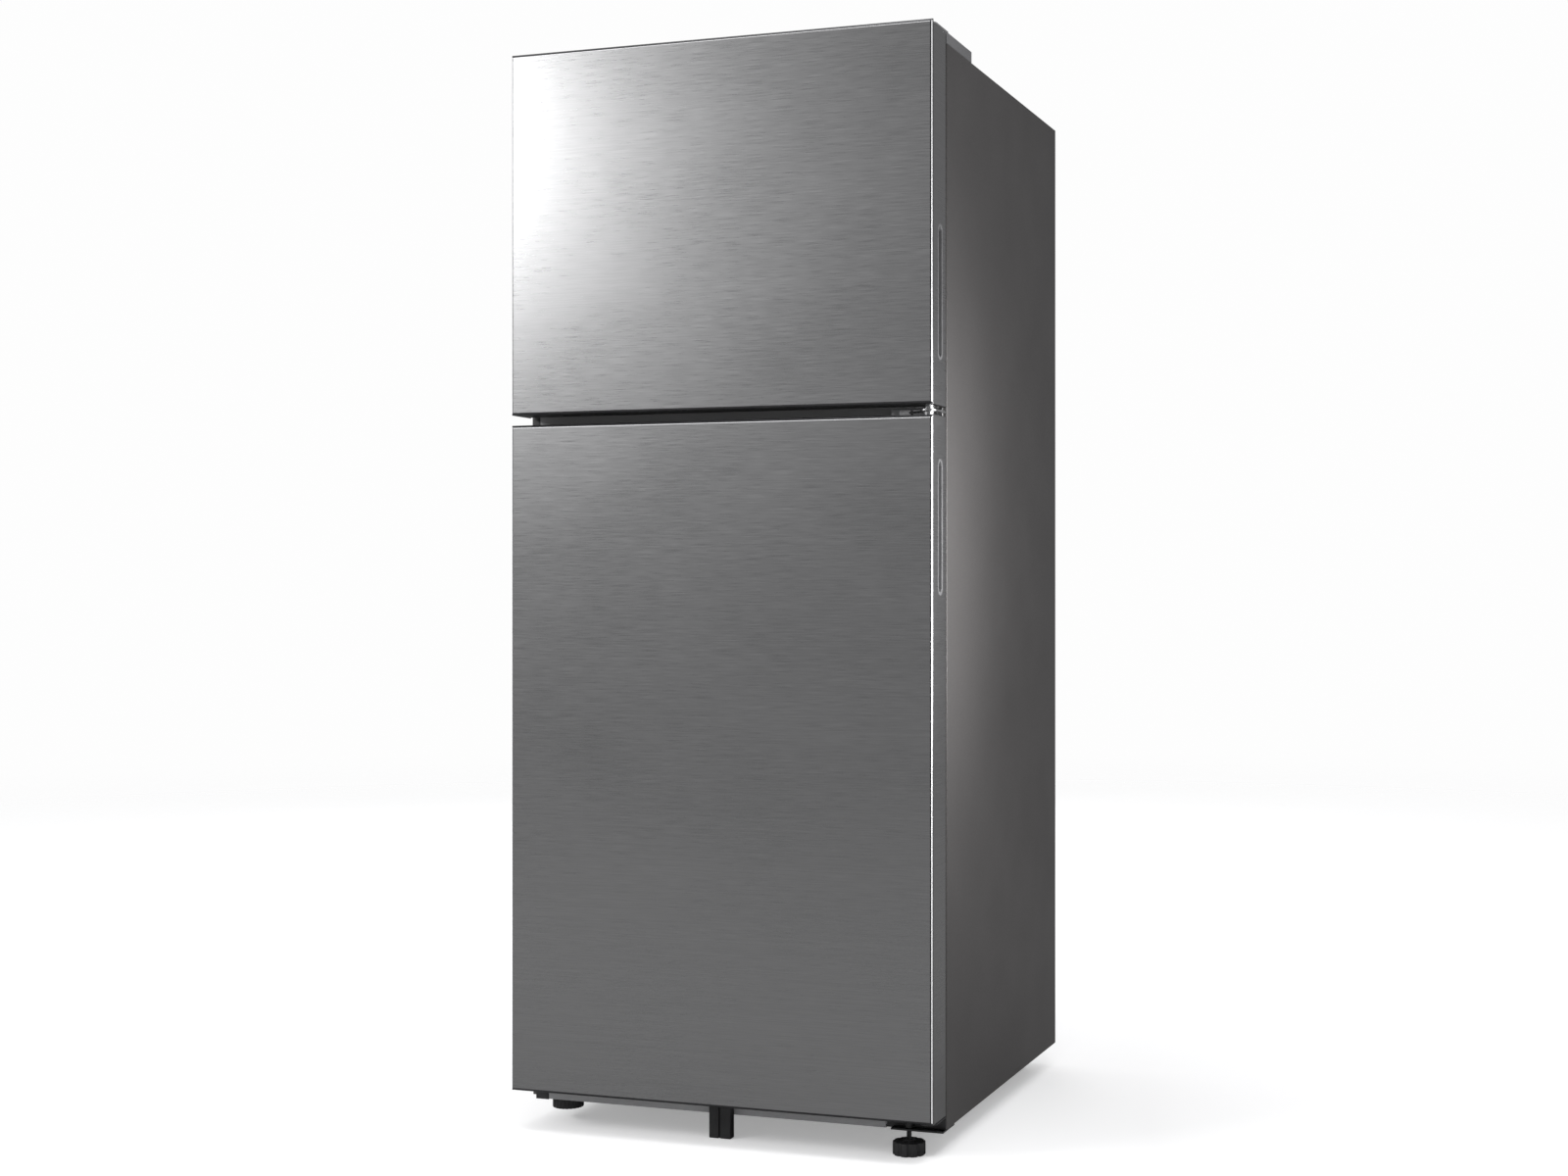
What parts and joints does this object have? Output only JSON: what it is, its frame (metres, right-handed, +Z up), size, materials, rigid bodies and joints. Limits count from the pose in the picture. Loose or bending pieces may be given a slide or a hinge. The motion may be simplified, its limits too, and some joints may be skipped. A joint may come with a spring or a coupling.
{
  "type": "top freezer refrigerator",
  "caption": "Free-standing refrigerator with the freezer above: brushed steel doors with side finger grips, graphite cabinet, drawers, shelves, twist ice trays and cooling gear.",
  "frame": {"origin": "on the floor under the middle of the refrigerator's outline", "axes": "+Z up, +X to the hinge side (the viewer's right), -Y out of the doors' faces"},
  "size_m": [0.7, 0.73, 1.7],
  "materials": {
    "door_steel": "fine horizontal brushed grain",
    "cabinet_paint": "matte warm graphite paint with fine speckle",
    "galvanised_sheet": "plain coated sheet",
    "foam": "rigid foam, hidden inside the walls",
    "liner_white": "smooth vacuum-formed liner",
    "rail_grey": "satin grey paint",
    "black_plastic": "fine moulded texture",
    "hinge_steel": "bright zinc plate",
    "cover_grey": "fine moulded texture",
    "black_steel": "black enamel",
    "grommet_rubber": "matte rubber",
    "copper": "drawn copper tube",
    "motor_metal": "zinc-plated motor shell",
    "fin_aluminium": "mill-finish fins",
    "duct_plastic": "satin moulded plastic",
    "lamp_lens": "translucent lens",
    "shelf_glass": "clear tempered glass",
    "clear_plastic": "clear moulded plastic",
    "cap_plastic": "fine moulded texture",
    "gasket_grey": "soft magnetic seal"
  },
  "bodies": {
    "cabinet": {"side_panels": "cabinet_paint", "top_panel": "cabinet_paint", "back_panel": "galvanised_sheet", "bottom_panel": "galvanised_sheet", "insulation": "foam", "freezer_liner": "liner_white", "fridge_liner": "liner_white", "mullion_rail": "rail_grey", "trim_plugs": "black_plastic", "base_rail": "rail_grey", "top_hinge": "hinge_steel", "hinge_cover": "cover_grey", "middle_hinge": "hinge_steel", "lower_hinge": "black_steel", "hinge_screws": "hinge_steel", "centre_leg": "black_plastic", "compressor_base": "black_steel", "compressor": "black_steel", "compressor_mounts": "grommet_rubber", "condenser": "black_steel", "refrigerant_pipes": "copper", "fan_motors": "motor_metal", "evaporation_tray": "black_plastic", "rear_cover": "black_plastic", "power_inlet": "black_plastic", "evaporator": "fin_aluminium", "evaporator_cover": "duct_plastic", "fridge_duct": "duct_plastic", "control_box": "duct_plastic", "lamp_cover": "lamp_lens", "shelf_glass": "shelf_glass", "shelf_trims": "duct_plastic", "ice_maker_frame": "duct_plastic"},
    "freezer_door": {"freezer_door_skin": "door_steel", "freezer_door_core": "foam", "freezer_door_caps": "cap_plastic", "freezer_door_liner": "liner_white", "freezer_door_gasket": "gasket_grey", "freezer_door_grips": "cap_plastic", "freezer_door_bin_low": "clear_plastic", "freezer_door_bin_high": "clear_plastic"},
    "fridge_door": {"fridge_door_skin": "door_steel", "fridge_door_core": "foam", "fridge_door_caps": "cap_plastic", "fridge_door_liner": "liner_white", "fridge_door_gasket": "gasket_grey", "fridge_door_grips": "cap_plastic", "fridge_door_bins": "clear_plastic"},
    "condenser_fan": {"condenser_fan": "black_plastic"},
    "evaporator_fan": {"evaporator_fan": "duct_plastic"},
    "temperature_dial": {"temperature_dial": "cover_grey"},
    "ice_tray_left": {"ice_tray_left": "clear_plastic"},
    "ice_tray_right": {"ice_tray_right": "clear_plastic"},
    "ice_bucket": {"ice_bucket": "clear_plastic"},
    "chiller_drawer": {"chiller_drawer": "clear_plastic"},
    "crisper_drawer": {"crisper_drawer": "clear_plastic"},
    "humidity_slider": {"humidity_slider": "clear_plastic"},
    "right_foot": {"right_foot": "black_plastic"},
    "left_foot": {"left_foot": "black_plastic"},
    "roller_left": {"roller_left": "black_plastic"},
    "roller_right": {"roller_right": "black_plastic"}
  },
  "joints": [
    {"name": "freezer_door_hinge", "type": "hinge", "parent": "cabinet", "child": "freezer_door", "pos_m": [0.336, -0.339, 1.13], "axis": [0, 0, 1], "range_deg": [0, 115]},
    {"name": "fridge_door_hinge", "type": "hinge", "parent": "cabinet", "child": "fridge_door", "pos_m": [0.336, -0.339, 0.062], "axis": [0, 0, 1], "range_deg": [0, 115]},
    {"name": "ice_bucket_slide", "type": "slide", "parent": "cabinet", "child": "ice_bucket", "axis": [0, -1, 0], "range_m": [0, 0.201]},
    {"name": "chiller_drawer_slide", "type": "slide", "parent": "cabinet", "child": "chiller_drawer", "axis": [0, -1, 0], "range_m": [0, 0.241]},
    {"name": "crisper_drawer_slide", "type": "slide", "parent": "cabinet", "child": "crisper_drawer", "axis": [0, -1, 0], "range_m": [0, 0.201]},
    {"name": "humidity_slider_slide", "type": "slide", "parent": "crisper_drawer", "child": "humidity_slider", "axis": [1, 0, 0], "range_m": [-0.022, 0.022]},
    {"name": "ice_tray_left_twist", "type": "hinge", "parent": "cabinet", "child": "ice_tray_left", "pos_m": [-0.215, -0.185, 1.485], "axis": [0, 1, 0], "range_deg": [0, 150], "stiffness_Nm_per_rad": 0.4},
    {"name": "ice_tray_right_twist", "type": "hinge", "parent": "cabinet", "child": "ice_tray_right", "pos_m": [-0.085, -0.185, 1.485], "axis": [0, 1, 0], "range_deg": [0, 150], "stiffness_Nm_per_rad": 0.4},
    {"name": "temperature_dial_turn", "type": "hinge", "parent": "cabinet", "child": "temperature_dial", "pos_m": [0.07, -0.21, 1.068], "axis": [0, -1, 0], "range_deg": [-135, 135]},
    {"name": "evaporator_fan_spin", "type": "hinge", "parent": "cabinet", "child": "evaporator_fan", "pos_m": [0, 0.256, 1.5], "axis": [0, -1, 0], "continuous": true},
    {"name": "condenser_fan_spin", "type": "hinge", "parent": "cabinet", "child": "condenser_fan", "pos_m": [-0.06, 0.262, 0.125], "axis": [1, 0, 0], "continuous": true},
    {"name": "right_foot_screw", "type": "slide", "parent": "cabinet", "child": "right_foot", "axis": [0, 0, 1], "range_m": [0, 0.012]},
    {"name": "left_foot_screw", "type": "slide", "parent": "cabinet", "child": "left_foot", "axis": [0, 0, 1], "range_m": [-0.019, 0]},
    {"name": "roller_left_spin", "type": "hinge", "parent": "cabinet", "child": "roller_left", "pos_m": [-0.3045, 0.318, 0.022], "axis": [1, 0, 0], "continuous": true},
    {"name": "roller_right_spin", "type": "hinge", "parent": "cabinet", "child": "roller_right", "pos_m": [0.3045, 0.318, 0.022], "axis": [1, 0, 0], "continuous": true}
  ],
  "couplings": [
    {"joint": "ice_bucket_slide", "follows": "freezer_door_hinge", "m_per_rad": 0.1},
    {"joint": "chiller_drawer_slide", "follows": "fridge_door_hinge", "m_per_rad": 0.12},
    {"joint": "crisper_drawer_slide", "follows": "fridge_door_hinge", "m_per_rad": 0.1}
  ]
}
